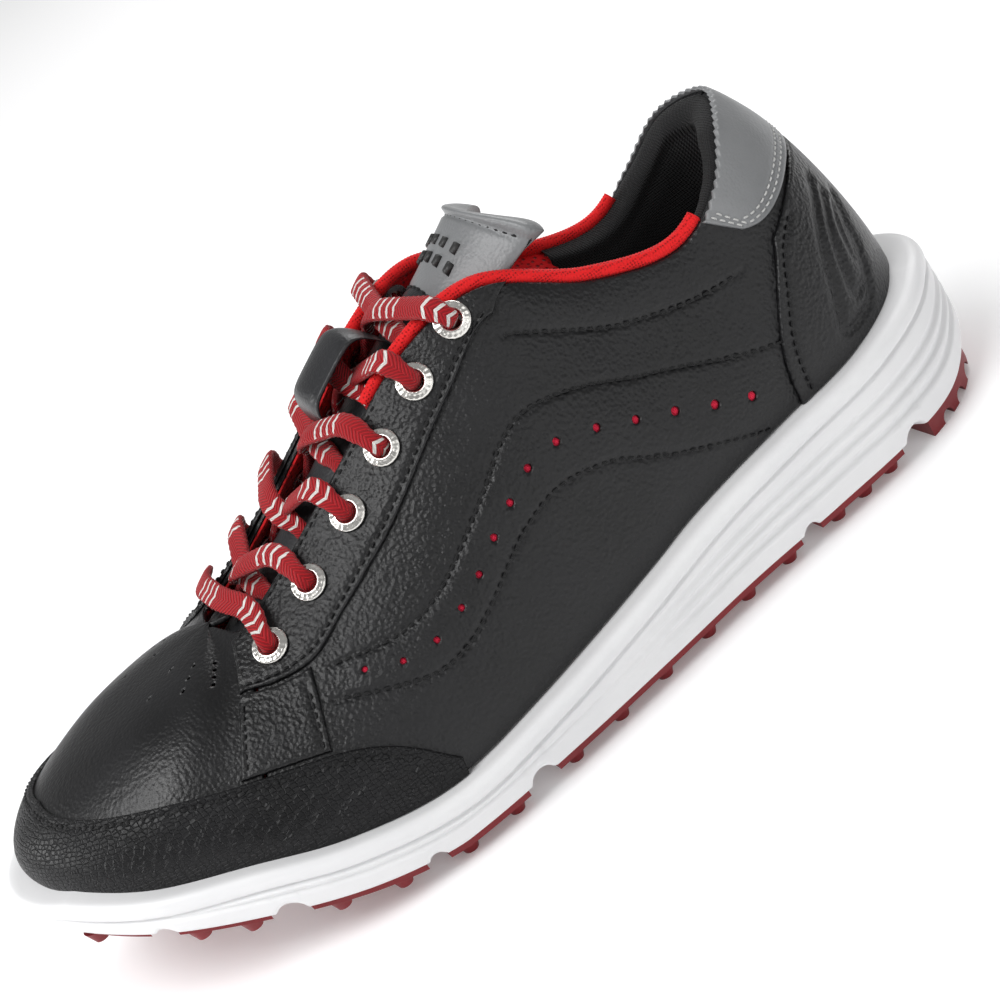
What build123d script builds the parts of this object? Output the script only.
"""A left golf shoe for a man's foot, in millimetres.

Toe towards -X, heel towards +X, outer (lateral) side towards -Y, +Z up.
The shoe stands on its lugs, which touch Z = 0 from the ball of the foot back.
"""

from build123d import *
import math
import os

import numpy as np

# ---------------------------------------------------------------- driving dimensions
SHIFT_X = -2.2              # brings the middle of the whole shoe over the origin
SHIFT_Y = 1.65
LEATHER = 1.3               # thickness of the outer leather pieces
LAYER_GAP = 0.1             # between one layer and the next
OVERLAY = (LAYER_GAP, LAYER_GAP + 1.2)
BASE = (-LEATHER, 0.0)
BACKING = (-1.75, -1.4)     # the red cloth behind the punched holes
STIFFENER = (-3.1, -1.4)    # toe puff and heel counter
FOAM_FACE = -1.85           # outer face of the thin foam behind the quarters
LINING_FACE = -3.2          # outer face of the lining where there is no padding
LINING_AT_EYELETS = -1.45   # the same under the eyelets, where there is no foam
LINING = 0.8
COLLAR_PAD = 6.0            # thickest padding, round the ankle
BINDING_RADIUS = 1.6
TOP_MARGIN = 0.965          # how far up the wall the bound edges stop

LUG_HEIGHT = 3.2
PLATE = 2.3
TREAD = LUG_HEIGHT + PLATE
SPRING_START = -50.0        # where the sole starts to rise towards the toe
SPRING_RATE = 0.054
SPRING_POWER = 1.39
HEEL_BEVEL_START = 118.0

EYELET_HOLE = 2.45          # radii
EYELET_BARREL = 2.75
EYELET_RIM = 4.8
WASHER_DEPTH = -3.5        # below the leather's face, clear of the lining and the binding
PUNCHED_FOR_EYELET = 2.95
LACE_RADIUS = 1.15
LACE_ABOVE = 4.3            # how far the lace runs above an eyelet's leather
LACE_BELOW = 5.1
LACE_UNDER_EDGE = 4.8
LACE_OVER_EDGE = (4.9, 6.2)     # over the throat's edge, at the first and the last crossing
LACE_OVER_TONGUE = (2.7, 7.3)   # the lower and the upper lace where two cross
AGLET_RADIUS = 1.7
AGLET_LENGTH = 20.0

OVERLAY_START = 0.022        # how far up the wall the overlays start, clear of the midsole
SEAT_GAP = 0.3              # between the midsole and the upper that stands on it
BOARD = 1.5
SOCKLINER = 4.0

# Stations round the shoe: 0 at the back of the heel, 12 at the tip of the toe.
# FOOT is where the upper meets the midsole, CROWN is the top edge of the upper.
FOOT_LATERAL = [
    (139.5, 0, 38.5), (129, -20.5, 36.5), (107.5, -32.5, 34), (79, -37.5, 32.5),
    (49.5, -40.5, 29.5), (20, -45.5, 25), (-12, -50.5, 21), (-44.5, -53.5, 18.5),
    (-73, -51.5, 23.5), (-97, -44, 30.5), (-119, -33.5, 36), (-133, -17.5, 40.5),
    (-137.5, 0, 42),
]
MEDIAL_WIDTHS = [0, 19.5, 30, 32, 30.5, 32, 39, 47, 49.5, 44, 33.5, 17.5, 0]
FOOT_MEDIAL = [(x, w, z) for (x, y, z), w in zip(FOOT_LATERAL, MEDIAL_WIDTHS)]
CROWN_LATERAL = [
    (118, 0, 106), (111, -15.5, 103), (99, -24.5, 92.5), (82, -26, 85.5),
    (59.5, -24.5, 92.5), (33.5, -22, 108), (7.5, -17.5, 104), (-21, -14.5, 88.5),
    (-48, -13, 74.5), (-66, -13, 67.5), (-71, -9, 68.5), (-73.5, -4.5, 69),
    (-74, 0, 69),
]
CROWN_MEDIAL = [(x, -y, z) for x, y, z in CROWN_LATERAL]
# How the wall leaves the foot line and reaches the crown: (outwards, upwards).
LOW_PULL = [
    (0, 13.5), (1, 13.5), (2, 14), (2.5, 14), (3, 14), (3, 13), (3.5, 11),
    (3.5, 10.5), (3.5, 11), (4.5, 12), (5, 12), (5.5, 11), (6.5, 10.5),
]
HIGH_PULL = [
    (14, -16), (11, -17), (7, -18), (5, -17), (6, -18.5), (10, -17), (14, -15),
    (18, -14), (20, -12), (22, -8), (30, -4), (38, -3), (42, -3),
]
LAST_STATION = 12
LATERAL = -1
MEDIAL = 1
SIDES = {"lateral": LATERAL, "medial": MEDIAL}

EYELETS = [(8.29, 0.80), (7.66, 0.83), (7.07, 0.845), (6.53, 0.85), (5.99, 0.87), (5.39, 0.915)]
PERFORATIONS = [
    (3.13, 0.25), (3.5, 0.34), (3.89, 0.42), (4.29, 0.467), (4.67, 0.496), (5.07, 0.52),
    (5.42, 0.52), (5.7, 0.497), (5.96, 0.473), (6.21, 0.445), (6.46, 0.43), (6.76, 0.43),
    (7.1, 0.46), (7.45, 0.52),
]
# Pods of the outsole: name, rear and front end, and the places of their lugs' rows.
PODS = {
    "outsole_toe_pod": (-143.5, -124.5, [-134]),
    "outsole_forefoot_pod_1": (-119, -99, [-114, -103]),
    "outsole_forefoot_pod_2": (-90, -62, [-83, -68]),
    "outsole_forefoot_pod_3": (-56, -31, [-50, -35]),
    "outsole_arch_pod": (-21, 67, [-15, 1, 17, 33, 48, 63]),
    "outsole_heel_front_pod": (74, 105, [81, 91, 101]),
}
LUG_PITCH = 14.5


# ---------------------------------------------------------------- the shoe's surface
def unit(vectors):
    return vectors / (np.linalg.norm(vectors, axis=-1, keepdims=True) + 1e-12)


def along(stations, t):
    """A smooth curve through the stations, mirrored in Y past both of its ends."""
    table = np.asarray(stations, float)
    last = len(table) - 1
    t = np.asarray(t, float)
    whole = np.clip(np.floor(t).astype(int), 0, last - 1)
    part = (t - whole)[..., None]

    def at(index):
        inside = np.where(index < 0, -index, np.where(index > last, 2 * last - index, index))
        value = table[inside].copy()
        if table.shape[1] == 3:
            outside = (index < 0) | (index > last)
            value[..., 1] = np.where(outside, -value[..., 1], value[..., 1])
        return value

    before, here, there, after = at(whole - 1), at(whole), at(whole + 1), at(whole + 2)
    linear = there - before
    square = 2 * before - 5 * here + 4 * there - after
    cube = 3 * here - before - 3 * there + after
    return 0.5 * (2 * here + linear * part + square * part**2 + cube * part**3)


def outwards(foot, t, side):
    """The level direction that points out of the shoe at the foot line."""
    step = 1e-3
    run = along(foot, np.clip(t + step, 0, LAST_STATION))
    run = run - along(foot, np.clip(t - step, 0, LAST_STATION))
    level = np.stack([-run[..., 1], run[..., 0], 0 * run[..., 0]], -1)
    return unit(level) * -side


def swing(points):
    """The toe end bends towards the inner side, as a foot does."""
    points = points.copy()
    past = np.clip(-40 - points[..., 0], 0, None)
    points[..., 1] += 4 * (past / 100) ** 2
    return points


def wall(side, t, v):
    """A point on the outer face of the base leather: v is 0 at the foot, 1 at the crown."""
    t, v = np.broadcast_arrays(np.asarray(t, float), np.asarray(v, float))
    foot = FOOT_LATERAL if side == LATERAL else FOOT_MEDIAL
    crown = CROWN_LATERAL if side == LATERAL else CROWN_MEDIAL
    start, end = along(foot, t), along(crown, t)
    low, high = along(LOW_PULL, t), along(HIGH_PULL, t)
    out = outwards(foot, t, side)
    up = np.array([0, 0, 1.0])
    first = start + out * low[..., :1] + up * low[..., 1:2]
    second = end + out * high[..., :1] + up * high[..., 1:2]
    v = v[..., None]
    curve = start * (1 - v) ** 3 + 3 * first * v * (1 - v) ** 2
    curve = curve + 3 * second * v**2 * (1 - v) + end * v**3
    return swing(curve)


def normal(side, t, v):
    step = 2e-3
    t, v = np.broadcast_arrays(np.asarray(t, float), np.asarray(v, float))
    t = np.clip(t, step, LAST_STATION - step)
    v = np.clip(v, step, 1 - step)
    along_t = wall(side, t + step, v) - wall(side, t - step, v)
    along_v = wall(side, t, v + step) - wall(side, t, v - step)
    return unit(np.cross(along_t, along_v)) * side


def signed(s, v, offset, turn):
    """Wall points over one end of the shoe. s runs from the lateral side through
    the end at `turn` (heel 0 or toe 12) to the medial side."""
    s, v, offset = np.broadcast_arrays(s, v, offset)
    t = np.abs(turn - np.abs(s))
    points = {}
    for side in (LATERAL, MEDIAL):
        points[side] = wall(side, t, v) + normal(side, t, v) * offset[..., None]
    return np.where((s < 0)[..., None], points[LATERAL], points[MEDIAL])


# ---------------------------------------------------------------- solids from grids
def sheet(grid):
    rows = [[tuple(map(float, p)) for p in row] for row in grid]
    return Face.make_surface_from_array_of_points(rows, tol=0.03, min_deg=3, max_deg=3)


def edge_between(face, start, end):
    start, end = Vector(*map(float, start)), Vector(*map(float, end))

    def miss(edge):
        forward = (start - edge @ 0).length + (end - edge @ 1).length
        backward = (start - edge @ 1).length + (end - edge @ 0).length
        return min(forward, backward)

    return min(face.edges(), key=miss)


def skin(outer, inner):
    """The solid between two grids of points of the same shape."""
    top, bottom = sheet(outer), sheet(inner)
    faces = [top, bottom]
    corners = [(0, 0), (0, -1), (-1, -1), (-1, 0)]
    for a, b in zip(corners, corners[1:] + corners[:1]):
        upper = edge_between(top, outer[a], outer[b])
        lower = edge_between(bottom, inner[a], inner[b])
        faces.append(Face.make_surface_from_curves(upper, lower))
    return Solid(Shell(faces))


def panel(side, t, v, layer):
    """A piece of one side's wall, given its grids of t and v and its two offsets."""
    low, high = layer
    points, out = wall(side, t, v), normal(side, t, v)
    high = np.broadcast_to(high, t.shape)[..., None]
    low = np.broadcast_to(low, t.shape)[..., None]
    return skin(points + out * high, points + out * low)


def end_panel(s, v, layer, turn):
    """A piece of the wall that goes round the heel (turn 0) or the toe (turn 12)."""
    return skin(signed(s, v, np.asarray(layer[1]), turn), signed(s, v, np.asarray(layer[0]), turn))


def lattice(rows=33, columns=11):
    return np.meshgrid(np.linspace(0, 1, rows), np.linspace(0, 1, columns), indexing="ij")


def mix(a, b, w):
    return a + (b - a) * w


def smooth(x, start, end):
    w = np.clip((x - start) / (end - start), 0, 1)
    return w * w * (3 - 2 * w)


def through(x, pairs):
    """A smooth function through (x, value) pairs."""
    knots = np.array([p[0] for p in pairs], float)
    values = np.array([p[1] for p in pairs], float)[:, None]
    index = np.interp(x, knots, np.arange(len(knots)))
    return along(np.hstack([values, values]), index)[..., 0]


# ---------------------------------------------------------------- frames at holes
def drill(side, t, v, radius, top=4.0, bottom=-9.0):
    """A cylinder across the wall, for punching a hole at (t, v)."""
    at, out = wall(side, t, v), normal(side, t, v)
    plane = Plane(origin=tuple(map(float, at + out * bottom)), z_dir=tuple(map(float, out)))
    return Solid.make_cylinder(radius, top - bottom, plane)


def punch(solid, tools):
    for tool in tools:
        solid = solid - tool
    return solid.solids()[0] if len(solid.solids()) == 1 else solid


def eyelet_drills(side):
    return [drill(side, t, v, PUNCHED_FOR_EYELET) for t, v in EYELETS]


# ---------------------------------------------------------------- upper, outer pieces
def guard_top(t):
    """Upper edge of the toe guard, as a height v on the wall."""
    rise = 0.43 * (1 - np.exp(-(t - 6.7) / 0.62))
    return rise + 0.04 * np.clip((t - 10.5) / 1.5, 0, 1) ** 2


def eyestay_edge(u):
    """Lower edge of the eyestay from its rear end (u = 0) to its front (u = 1)."""
    t = mix(5.03, 8.87, u)
    v = through(t, [(5.03, 0.865), (5.7, 0.785), (6.4, 0.728), (7.1, 0.70), (7.5, 0.682),
                    (7.87, 0.655), (8.29, 0.685), (8.87, 0.747)])
    return t, v


def eyestay(side):
    u, w = lattice(45, 13)
    t_low, v_low = eyestay_edge(u)
    t = mix(t_low, mix(4.74, 8.9, u), w)
    v = mix(v_low, TOP_MARGIN, w)
    return punch(panel(side, t, v, OVERLAY), eyelet_drills(side))


def side_panel(side):
    u, w = lattice(13, 11)
    t = mix(7.93, 8.88, u)
    low = guard_top(t) + 0.012
    high = eyestay_edge((t - 5.03) / (8.87 - 5.03))[1] - 0.012
    return panel(side, t, mix(low, high, w), OVERLAY)


def quarter(side):
    u, w = lattice(65, 17)
    solid = panel(side, mix(0.03, 8.6, u), w * TOP_MARGIN, BASE)
    holes = eyelet_drills(side)
    for index, (t, v) in enumerate(PERFORATIONS):
        holes.append(drill(side, t, v, 1.35 - 0.035 * index, 2, -1.6))
    return punch(solid, holes)


def perforation_backing(side):
    u, w = lattice(33, 9)
    t = mix(2.9, 7.75, u)
    middle = through(t, PERFORATIONS)
    return panel(side, t, middle + mix(-0.07, 0.07, w), BACKING)


def quarter_foam(side):
    u, w = lattice(41, 13)
    t = mix(4.7, 8.5, u)
    return panel(side, t, mix(0.03, 0.66, w), (-3.1, FOAM_FACE))


def vamp():
    u, w = lattice(65, 17)
    s = mix(-(12 - 8.63), 12 - 8.63, u)
    solid = end_panel(s, mix(0.0, 0.99, w), BASE, 12)
    holes = []
    for side in SIDES.values():
        for row, t in enumerate((9.5, 10.2, 11.1)):
            for v in np.linspace(0.84, 0.93, 4 - row):
                holes.append(drill(side, t, v, 0.6, 2, -1.8))
    return punch(solid, holes)


def toe_guard():
    u, w = lattice(73, 9)
    reach = 12 - 6.87
    s = mix(-reach, reach, u)
    return end_panel(s, mix(OVERLAY_START, guard_top(12 - np.abs(s)), w), OVERLAY, 12)


def heel_cover():
    u, w = lattice(49, 13)
    s = mix(-1, 1, u) * (2.73 - 0.85 * w**3)
    return end_panel(s, mix(OVERLAY_START, 0.642, w), OVERLAY, 0)


def heel_tab():
    u, w = lattice(49, 11)
    b = mix(-1, 1, u)
    s = b * mix(2.12, 2.5, w)
    low = 0.655 + 0.12 * np.abs(b) ** 5
    high = 0.985 - 0.03 * b**4
    return end_panel(s, mix(low, high, w), OVERLAY, 0)


# ---------------------------------------------------------------- upper, inner pieces
def padding(t, v):
    """Extra thickness behind the leather round the ankle."""
    round_ankle = 1 - smooth(t, 3.2, 5.2)
    up_the_wall = 0.15 + 0.85 * smooth(v, 0.25, 0.7)
    rolled_edge = np.sqrt(np.clip(1 - ((v - 0.8) / 0.2).clip(0, 1) ** 2 * 0.96, 0, 1))
    return COLLAR_PAD * round_ankle * up_the_wall * rolled_edge


def collar_foam():
    u, w = lattice(65, 17)
    s = mix(-4.6, 4.6, u)
    v = mix(0.3, 0.95, w)
    thick = padding(np.abs(s), v) + 0.25
    return end_panel(s, v, (LINING_FACE + LAYER_GAP - thick, LINING_FACE + LAYER_GAP + 0 * s), 0)


def heel_lining():
    u, w = lattice(65, 19)
    s = mix(-4.62, 4.62, u)
    v = mix(0.01, TOP_MARGIN - 0.005, w)
    face = LINING_FACE - 0.3 - padding(np.abs(s), v)
    return end_panel(s, v, (face - LINING, face), 0)


def forefoot_lining():
    u, w = lattice(81, 19)
    reach = 12 - 4.7
    s = mix(-reach, reach, u)
    v = mix(0.02, TOP_MARGIN - 0.005, w)
    face = mix(LINING_FACE, LINING_AT_EYELETS, smooth(v, 0.66, 0.78))
    solid = end_panel(s, v, (face - LINING, face), 12)
    return punch(solid, eyelet_drills(LATERAL) + eyelet_drills(MEDIAL))


def toe_puff():
    u, w = lattice(41, 9)
    return end_panel(mix(-2.4, 2.4, u), mix(0.02, 0.55, w), STIFFENER, 12)


def heel_counter():
    u, w = lattice(41, 9)
    s = mix(-1, 1, u) * mix(3.1, 2.0, w)
    return end_panel(s, mix(0.02, 0.6, w), (STIFFENER[0] + 0.15, STIFFENER[1]), 0)


def round_bar(points, radius):
    """A bar of round section through a list of centres."""
    centres = [Vector(*map(float, p)) for p in points]
    rings = []
    for index, centre in enumerate(centres):
        ahead = centres[min(index + 1, len(centres) - 1)]
        behind = centres[max(index - 1, 0)]
        rings.append(Wire.make_circle(radius, Plane(origin=centre, z_dir=ahead - behind)))
    return Solid.make_loft(rings)


def collar_binding(side):
    t = np.linspace(2.62, 6.35, 22)
    return round_bar(wall(side, t, 1.0) - normal(side, t, 0.97) * (BINDING_RADIUS + 0.05), BINDING_RADIUS)


# ---------------------------------------------------------------- eyelets
def eyelet_plane(side, t, v, offset):
    at, out = wall(side, t, v), normal(side, t, v)
    return Plane(origin=tuple(map(float, at + out * offset)), z_dir=tuple(map(float, out)))


def eyelet(side, t, v):
    rim_low, rim_high, barrel_end = 1.45, 2.5, WASHER_DEPTH
    profile = Polyline(
        (EYELET_HOLE, barrel_end), (EYELET_BARREL, barrel_end), (EYELET_BARREL, rim_low),
        (EYELET_RIM, rim_low), (EYELET_RIM - 0.3, rim_low + 0.5), (EYELET_RIM - 1.2, rim_high),
        (EYELET_HOLE + 0.5, rim_high - 0.1), (EYELET_HOLE, rim_high - 0.6), close=True,
    )
    section = Face(Wire(profile.edges()))
    ring = revolve(Plane.XZ * section, Axis.Z, 360)
    return eyelet_plane(side, t, v, 0) * ring


def washer(side, t, v):
    ring = Cylinder(4.4, 0.45) - Cylinder(EYELET_BARREL + 0.1, 2)
    return eyelet_plane(side, t, v, WASHER_DEPTH) * ring


# ---------------------------------------------------------------- tongue
TONGUE_LINE = [(-68, 62), (-48, 71.5), (-21, 85.5), (7.5, 100.5), (33.5, 110.5), (48, 114)]
TONGUE_HALF_WIDTH = [(0, 11.5), (0.25, 15.5), (0.5, 18.5), (0.75, 19.5), (1, 20.5)]
TONGUE_DROP = [(0, 5), (0.25, 11), (0.5, 13.8), (0.75, 13.5), (1, 9)]
KEEPER_AT = 0.545
KEEPER_HALF_LENGTH = 0.085
KEEPER_HALF_WIDTH = 0.26
KEEPER_RISE = 12.2


def tongue_point(a, b):
    """On the tongue's outer face: a from its root to its top, b across it."""
    middle = along(TONGUE_LINE, a * (len(TONGUE_LINE) - 1))
    x = middle[..., 0] + 5 * b**2 * smooth(a, 0.7, 1)
    y = b * through(a, TONGUE_HALF_WIDTH)
    z = middle[..., 1] - through(a, TONGUE_DROP) * b**2
    return swing(np.stack([x, y, z], -1))


def tongue_normal(a, b):
    step = 2e-3
    a, b = np.clip(a, step, 1 - step), np.clip(b, step - 1, 1 - step)
    lengthwise = tongue_point(a + step, b) - tongue_point(a - step, b)
    across = tongue_point(a, b + step) - tongue_point(a, b - step)
    return unit(np.cross(lengthwise, across))


def tongue_layer(a, b, low, high):
    points, out = tongue_point(a, b), tongue_normal(a, b)
    high = np.broadcast_to(high, a.shape)[..., None]
    low = np.broadcast_to(low, a.shape)[..., None]
    return skin(points + out * high, points + out * low)


def tongue_pad(a, b):
    return (2.2 + 3.2 * smooth(a, 0.78, 0.92)) * (1 - 0.85 * b**6)


def tongue_shell():
    a, b = lattice(41, 17)
    return tongue_layer(a, mix(-1, 1, b), -1.0, 0.0)


def tongue_foam():
    a, b = lattice(41, 17)
    a, b = mix(0.02, 0.985, a), mix(-0.96, 0.96, b)
    return tongue_layer(a, b, -1.1 - tongue_pad(a, b), -1.1)


def tongue_lining():
    a, b = lattice(41, 17)
    b = mix(-1, 1, b)
    face = -1.3 - tongue_pad(a, b)
    return tongue_layer(a, b, face - 0.7, face)


def tongue_patch():
    a, b = lattice(13, 11)
    a, b = mix(0.8, 0.93, a), mix(-0.62, 0.62, b)
    return tongue_layer(a, b, 0.1, 0.5)


def lace_keeper():
    """A strap along the tongue, sewn down at both ends, that the laces pass under."""
    a, b = lattice(31, 9)
    a, b = mix(-1, 1, a), mix(-KEEPER_HALF_WIDTH, KEEPER_HALF_WIDTH, b)
    rise = 0.1 + KEEPER_RISE * (1 - a**6)
    return tongue_layer(KEEPER_AT + a * KEEPER_HALF_LENGTH, b, rise, rise + 0.9)


# ---------------------------------------------------------------- lace
def lace_points():
    """The lace's route, from one tucked end to the other."""
    def at(side, t, v, offset):
        return wall(side, t, v) + normal(side, min(t, 8.6), v) * offset

    def over_tongue(x, height):
        grid = np.linspace(0, 1, 400)
        line = tongue_point(grid, 0 * grid)
        a = float(np.interp(x, line[:, 0], grid))
        return tongue_point(np.array(a), np.array(0.0)) + tongue_normal(np.array(a), np.array(0.0)) * height

    def half(side):
        route = []
        for row in range(len(EYELETS)):
            t, v = EYELETS[row]
            here = side if row % 2 == 0 else -side
            route.append(at(here, t, v, LACE_ABOVE))
            route.append(at(here, t, v, -LACE_BELOW))
            if row + 1 == len(EYELETS):
                break
            t_next = EYELETS[row + 1][0]
            route.append(at(here, mix(t, t_next, 0.25), 0.975, -LACE_UNDER_EDGE))
            x = 0.5 * (wall(LATERAL, t, v)[0] + wall(LATERAL, t_next, EYELETS[row + 1][1])[0])
            under = LACE_OVER_TONGUE[0 if side == LATERAL else 1]
            route.append(over_tongue(x, under))
            over = mix(*LACE_OVER_EDGE, row / (len(EYELETS) - 2))
            route.append(at(-here, mix(t, t_next, 0.85), 0.985, over))
        end = route[-1]
        inner = -1 if here == LATERAL else 1
        route.append(end + np.array([2.0, inner * 5.5, -13.0]))
        route.append(end + np.array([-6.0, inner * 6.5, -28.0]))
        route.append(end + np.array([-20.0, inner * 7.0, -40.0]))
        return route

    low, high = half(LATERAL), half(MEDIAL)
    middle = [swing(np.array([-61.0, y, 76.5 - abs(y) * 0.12])) for y in (-8.0, 8.0)]
    middle.insert(0, at(LATERAL, 8.33, 0.95, LACE_ABOVE))
    middle.append(at(MEDIAL, 8.33, 0.95, LACE_ABOVE))
    return low[::-1] + middle + high


def lace_and_aglets():
    points = [Vector(*map(float, p)) for p in lace_points()]
    radii = []
    for before, corner, after in zip(points, points[1:], points[2:]):
        turn = (corner - before).get_angle(after - corner)
        shorter = min((corner - before).length, (after - corner).length)
        radii.append(0.42 * shorter / math.tan(math.radians(turn) / 2))
    path = FilletPolyline(*points, radius=[min(r, 60) for r in radii])
    start = Plane(origin=path @ 0, z_dir=path % 0)
    lace = sweep(start * Circle(LACE_RADIUS), path=path)
    print("lace length", round(path.length, 1), "least radius", round(min(radii), 2),
          "volume ratio", round(lace.volume / (path.length * math.pi * LACE_RADIUS**2), 3))
    ends = []
    for place, direction in ((path @ 0, path % 0), (path @ 1, (path % 1) * -1)):
        plane = Plane(origin=place, z_dir=direction * -1)
        ends.append(Solid.make_cylinder(AGLET_RADIUS, AGLET_LENGTH, plane))
    return lace, ends


# ---------------------------------------------------------------- sole
def spring(x):
    """Height of the lugs' tips above the ground."""
    toe = SPRING_RATE * np.clip(SPRING_START - x, 0, None) ** SPRING_POWER
    return toe + 0.005 * np.clip(x - 125, 0, None) ** 2


def midsole_bottom(x):
    return spring(x) + TREAD + LAYER_GAP + 0.007 * np.clip(x - HEEL_BEVEL_START, 0, None) ** 2


def foot_height(x):
    """Height of the foot line, which is the top of the midsole."""
    line = along(FOOT_LATERAL, np.linspace(LAST_STATION, 0, 400))
    return np.interp(x, line[:, 0], line[:, 2])


def outline(extra, inset=0.0):
    """A closed level outline of the sole, `extra` (side, heel, toe) outside the foot line."""
    points = []
    side_extra, heel_extra, toe_extra = extra
    for side, ts in ((LATERAL, np.arange(0, 12, 0.5)), (MEDIAL, np.arange(12, 0, -0.5))):
        foot = FOOT_LATERAL if side == LATERAL else FOOT_MEDIAL
        heel = np.exp(-((ts / 1.6) ** 2))
        toe = np.exp(-(((12 - ts) / 2) ** 2))
        reach = side_extra + (heel_extra - side_extra) * heel + (toe_extra - side_extra) * toe
        at = along(foot, ts) + outwards(foot, ts, side) * (reach - inset)[:, None]
        points.extend(swing(at))
    return [(float(p[0]), float(p[1])) for p in points]


def outline_wire(extra, z, inset=0.0):
    spline = Edge.make_spline([Vector(x, y, z) for x, y in outline(extra, inset)], periodic=True)
    return Wire([spline])


def between_heights(low, high, start, end, width=90):
    """A slab across the shoe between two height functions of x."""
    xs = np.linspace(start, end, 25)
    floor = Spline(*[(float(x), float(low(x))) for x in xs])
    roof = Spline(*[(float(x), float(high(x))) for x in xs])
    sides = [Line(floor @ 0, roof @ 0), Line(floor @ 1, roof @ 1)]
    face = Face(Wire([floor.edges()[0], roof.edges()[0], sides[0].edges()[0], sides[1].edges()[0]]))
    return extrude(Plane.XZ * face, width, both=True)


LOW_EXTRA = (3.5, 9.0, 6.0)
BULGE_EXTRA = (6.0, 11.0, 8.5)
TOP_EXTRA = (3.0, 4.0, 5.5)


def midsole():
    body = Solid.make_loft([
        outline_wire(LOW_EXTRA, -2), outline_wire(BULGE_EXTRA, 18), outline_wire(TOP_EXTRA, 62),
    ])
    slab = between_heights(midsole_bottom, lambda x: foot_height(x) - SEAT_GAP, -160, 165)
    body = body & slab
    names = list(PODS)
    gaps = []
    for first, second in zip(names, names[1:]):
        gaps.append((PODS[first][1], PODS[second][0]))
    gaps.append((PODS[names[-1]][1], HEEL_POD[0]))
    for start, end in gaps:
        x = (start + end) / 2
        radius = (end - start) * 0.42
        notch = Rotation(90, 0, 0) * Cylinder(radius, 200)
        body = body - Pos(x, 0, float(midsole_bottom(x)) - radius * 0.35) * notch
    pocket = shank_blank(0.15)
    body = body - pocket
    return body.solids()[0]


def shank_blank(play):
    """The stiffening plate under the arch, with `play` all round."""
    length, width, thick = 96 + 2 * play, 26 + 2 * play, 1.4 + play
    slab = between_heights(lambda x: foot_height(x) - 0.3 - thick - LAYER_GAP,
                           lambda x: foot_height(x) - 0.3 + (3 if play > 0.1 else 0), -60, 110)
    block = Pos(22, -4, 30) * Box(length, width, 80)
    block = fillet(block.edges() | Axis.Z, 9)
    return slab & block


def shank():
    return shank_blank(0.0).solids()[0]


HEEL_POD = (116.0, 152.0)
POD_INSET = 1.2


def pod_blank(start, end, low, high):
    ring = outline_wire(LOW_EXTRA, -20, POD_INSET)
    column = Solid.extrude(Face(ring), Vector(0, 0, 100))
    cutter = Pos((start + end) / 2, 0, 0) * Box(end - start, 300, 300)
    cutter = fillet(cutter.edges() | Axis.Z, 4)
    slab = between_heights(low, high, start - 12, end + 12)
    return column & cutter & slab


def half_width(x, side):
    points = [p for p in outline(LOW_EXTRA, POD_INSET) if p[1] * side > 0]
    points.sort()
    return abs(float(np.interp(x, [p[0] for p in points], [p[1] for p in points])))


def lug(x, y, tip_radius=2.0, root_radius=3.4):
    cone = Cone(tip_radius, root_radius, LUG_HEIGHT + 0.4)
    return Pos(x, y, float(spring(x)) + (LUG_HEIGHT + 0.4) / 2) * cone


def lug_places(rows):
    """Lugs along both edges of the pod and in even columns between them."""
    places = []
    for index, x in enumerate(rows):
        low, high = -half_width(x, LATERAL) + 4.6, half_width(x, MEDIAL) - 4.6
        columns = max(2, round((high - low) / LUG_PITCH))
        for column in range(columns + 1):
            places.append((x, mix(low, high, column / columns)))
    return places


def pod(name):
    start, end, rows = PODS[name]
    body = pod_blank(start, end, lambda x: spring(x) + LUG_HEIGHT, lambda x: spring(x) + TREAD)
    if name == "outsole_arch_pod":
        window = Pos(20, -3, 0) * Box(52, 20, 60)
        body = body - fillet(window.edges() | Axis.Z, 9)
        places = [p for p in lug_places(rows) if abs(p[1] + 3) > 15 or not -10 < p[0] < 50]
    else:
        places = lug_places(rows)
    for x, y in places:
        body = body + lug(x, y)
    return body.solids()[0] if len(body.solids()) == 1 else body


def heel_pod():
    start, end = HEEL_POD
    top = lambda x: midsole_bottom(x) - LAYER_GAP
    body = pod_blank(start, end, lambda x: spring(x) + 0.0, top)
    for x in (123.5, 131.5, 139.5):
        groove = Rotation(90, 0, 0) * Cylinder(2.3, 200)
        body = body - Pos(x, 0, float(spring(x)) + 0.4) * groove
    return body.solids()[0]


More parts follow.
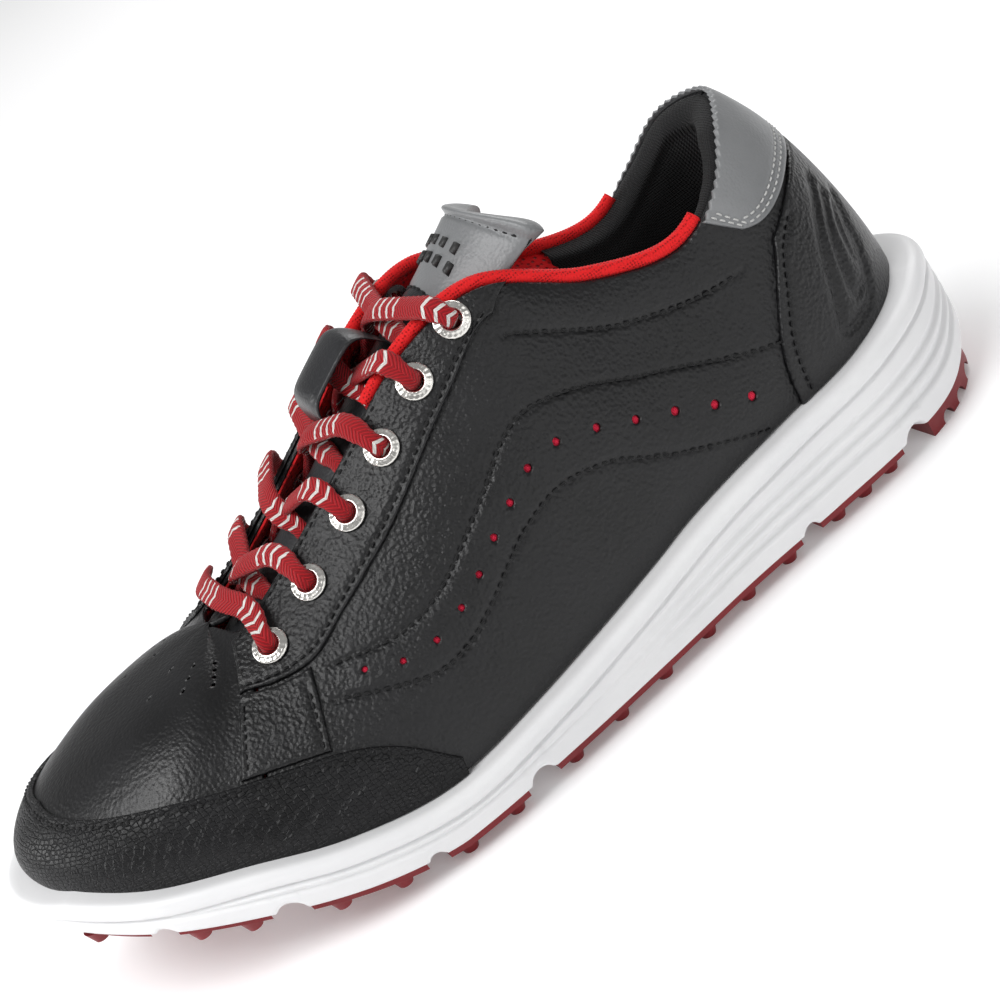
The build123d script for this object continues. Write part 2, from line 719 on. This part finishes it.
def level_plate(inset, low, high):
    ring = outline_wire((0, 0, 0), -5, inset)
    column = Solid.extrude(Face(ring), Vector(0, 0, 80))
    slab = between_heights(lambda x: foot_height(x) + low, lambda x: foot_height(x) + high, -155, 160)
    return (column & slab).solids()[0]


def insole_board():
    return level_plate(5.6, LAYER_GAP, LAYER_GAP + BOARD)


def sockliner():
    bottom = LAYER_GAP + BOARD + 0.3
    return level_plate(7.2, bottom, bottom + SOCKLINER)


# ---------------------------------------------------------------- the whole shoe
def build():
    nodes = {"midsole": midsole(), "shank": shank(), "insole_board": insole_board(), "sockliner": sockliner()}
    for name in PODS:
        nodes[name] = pod(name)
    nodes["outsole_heel_pod"] = heel_pod()
    nodes["vamp"] = vamp()
    nodes["toe_guard"] = toe_guard()
    nodes["heel_cover"] = heel_cover()
    nodes["heel_tab"] = heel_tab()
    nodes["toe_puff"] = toe_puff()
    nodes["heel_counter"] = heel_counter()
    nodes["collar_foam"] = collar_foam()
    nodes["heel_lining"] = heel_lining()
    nodes["forefoot_lining"] = forefoot_lining()
    for label, side in SIDES.items():
        nodes["quarter_" + label] = quarter(side)
        nodes["eyestay_" + label] = eyestay(side)
        nodes["side_panel_" + label] = side_panel(side)
        nodes["perforation_backing_" + label] = perforation_backing(side)
        nodes["quarter_foam_" + label] = quarter_foam(side)
        nodes["collar_binding_" + label] = collar_binding(side)
        nodes["eyelets_" + label] = Compound([eyelet(side, t, v).solids()[0] for t, v in EYELETS])
        nodes["eyelet_washers_" + label] = Compound([washer(side, t, v).solids()[0] for t, v in EYELETS])
    nodes["tongue_shell"] = tongue_shell()
    nodes["tongue_foam"] = tongue_foam()
    nodes["tongue_lining"] = tongue_lining()
    nodes["tongue_patch"] = tongue_patch()
    nodes["lace_keeper"] = lace_keeper()
    lace, aglets = lace_and_aglets()
    nodes["lace"] = lace
    nodes["aglets"] = Compound(aglets)
    return nodes


os.makedirs("parts", exist_ok=True)
for name, shape in build().items():
    placed = shape.moved(Location((SHIFT_X, SHIFT_Y, 0)))
    export_step(placed, "parts/" + name + ".step")
    print(name, len(placed.solids()), round(placed.volume), "" if placed.is_valid else "INVALID")
